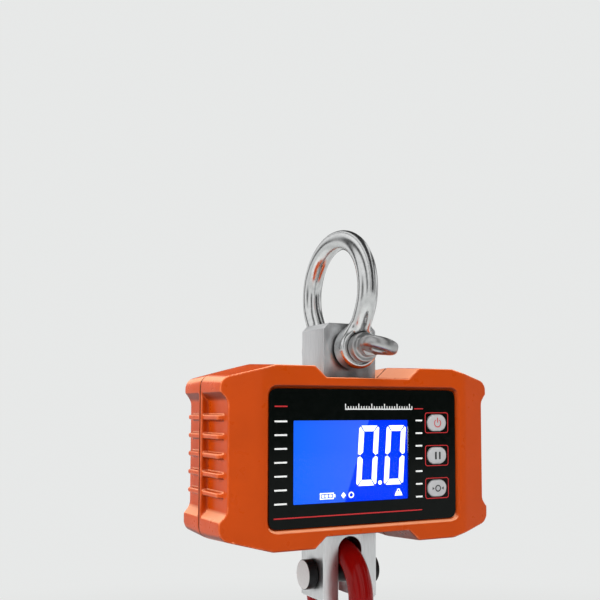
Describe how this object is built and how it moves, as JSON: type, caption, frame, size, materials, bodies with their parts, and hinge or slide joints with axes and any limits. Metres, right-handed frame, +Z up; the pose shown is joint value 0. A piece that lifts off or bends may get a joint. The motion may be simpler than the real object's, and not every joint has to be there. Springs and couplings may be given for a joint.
{
  "type": "hanging hoist scale",
  "caption": "Electronic hanging scale: shackle on a load cell block, painted hook with safety latch below, two-shell metal case with backlit display and three buttons.",
  "frame": {"origin": "inside of the top of the shackle bow, where the scale hangs", "axes": "+Z up along the load line, the display faces -Y, +X is to the right of someone reading the display"},
  "size_m": [0.151, 0.0851, 0.2785],
  "materials": {
    "polished_steel": "polished",
    "block_metal": "satin",
    "pin_steel": "satin",
    "hook_paint": "gloss",
    "zinc_steel": "satin",
    "screw_steel": "satin",
    "case_paint": "satin",
    "gasket_rubber": "matte",
    "panel_gloss": "gloss",
    "window_clear": "gloss",
    "backlight_blue": "satin",
    "button_grey": "satin",
    "black_plastic": "matte",
    "white_plastic": "satin",
    "board_green": "satin",
    "foil_brass": "satin",
    "cell_wrap": "satin"
  },
  "bodies": {
    "shackle": {"shackle_bow": "polished_steel"},
    "shackle_pin": {"shackle_pin": "polished_steel"},
    "scale": {"load_cell_block": "block_metal", "hook_pin": "pin_steel", "hook_pin_cap": "pin_steel", "block_bracket_left": "zinc_steel", "block_bracket_right": "zinc_steel", "block_screw_left": "zinc_steel", "block_screw_right": "zinc_steel", "bracket_screw_left": "zinc_steel", "bracket_screw_right": "zinc_steel", "board_screw_1": "zinc_steel", "board_screw_2": "zinc_steel", "board_screw_3": "zinc_steel", "board_screw_4": "zinc_steel", "battery_contact_left": "zinc_steel", "battery_contact_right": "zinc_steel", "case_screw_1": "screw_steel", "case_screw_2": "screw_steel", "case_screw_3": "screw_steel", "case_screw_4": "screw_steel", "front_shell": "case_paint", "rear_shell": "case_paint", "shell_gasket_left": "gasket_rubber", "shell_gasket_right": "gasket_rubber", "block_seal_top": "gasket_rubber", "block_seal_bottom": "gasket_rubber", "front_panel": "panel_gloss", "display_window": "window_clear", "lcd_glass": "window_clear", "lcd_backlight": "backlight_blue", "lcd_frame": "black_plastic", "power_switch": "black_plastic", "hold_switch": "black_plastic", "zero_switch": "black_plastic", "buzzer": "black_plastic", "controller_chip": "black_plastic", "battery_tray": "black_plastic", "cell_cable": "black_plastic", "battery_cable": "black_plastic", "battery_connector": "white_plastic", "cell_connector": "white_plastic", "main_board": "board_green", "strain_gauge_1": "foil_brass", "strain_gauge_2": "foil_brass", "strain_gauge_3": "foil_brass", "strain_gauge_4": "foil_brass", "battery_1": "cell_wrap", "battery_2": "cell_wrap", "battery_3": "cell_wrap"},
    "hook": {"hook": "hook_paint", "latch_pin": "zinc_steel", "latch_spring": "screw_steel"},
    "latch": {"hook_latch": "zinc_steel"},
    "power_button": {"power_button": "button_grey"},
    "hold_button": {"hold_button": "button_grey"},
    "zero_button": {"zero_button": "button_grey"},
    "battery_cover": {"battery_cover": "case_paint", "cover_screw_left": "screw_steel", "cover_screw_right": "screw_steel"}
  },
  "joints": [
    {"name": "scale_swing", "type": "hinge", "parent": "shackle", "child": "scale", "pos_m": [0, 0, -0.0526], "axis": [0, 1, 0], "range_deg": [-90, 90]},
    {"name": "shackle_pin_withdraw", "type": "slide", "parent": "shackle", "child": "shackle_pin", "axis": [0, -1, 0], "range_m": [0, 0.05]},
    {"name": "hook_swing", "type": "hinge", "parent": "scale", "child": "hook", "pos_m": [0, 0, -0.1768], "axis": [1, 0, 0], "range_deg": [-60, 60]},
    {"name": "latch_open", "type": "hinge", "parent": "hook", "child": "latch", "pos_m": [0, -0.009, -0.2078], "axis": [1, 0, 0], "range_deg": [0, 60], "stiffness_Nm_per_rad": 0.03, "springref_deg": -28.65},
    {"name": "power_press", "type": "slide", "parent": "scale", "child": "power_button", "axis": [0, 1, 0], "range_m": [0, 0.0007], "stiffness_N_per_m": 2500, "springref_m": -0.0003},
    {"name": "hold_press", "type": "slide", "parent": "scale", "child": "hold_button", "axis": [0, 1, 0], "range_m": [0, 0.0007], "stiffness_N_per_m": 2500, "springref_m": -0.0003},
    {"name": "zero_press", "type": "slide", "parent": "scale", "child": "zero_button", "axis": [0, 1, 0], "range_m": [0, 0.0007], "stiffness_N_per_m": 2500, "springref_m": -0.0003},
    {"name": "battery_cover_off", "type": "slide", "parent": "scale", "child": "battery_cover", "axis": [0, 1, 0], "range_m": [0, 0.03]}
  ]
}
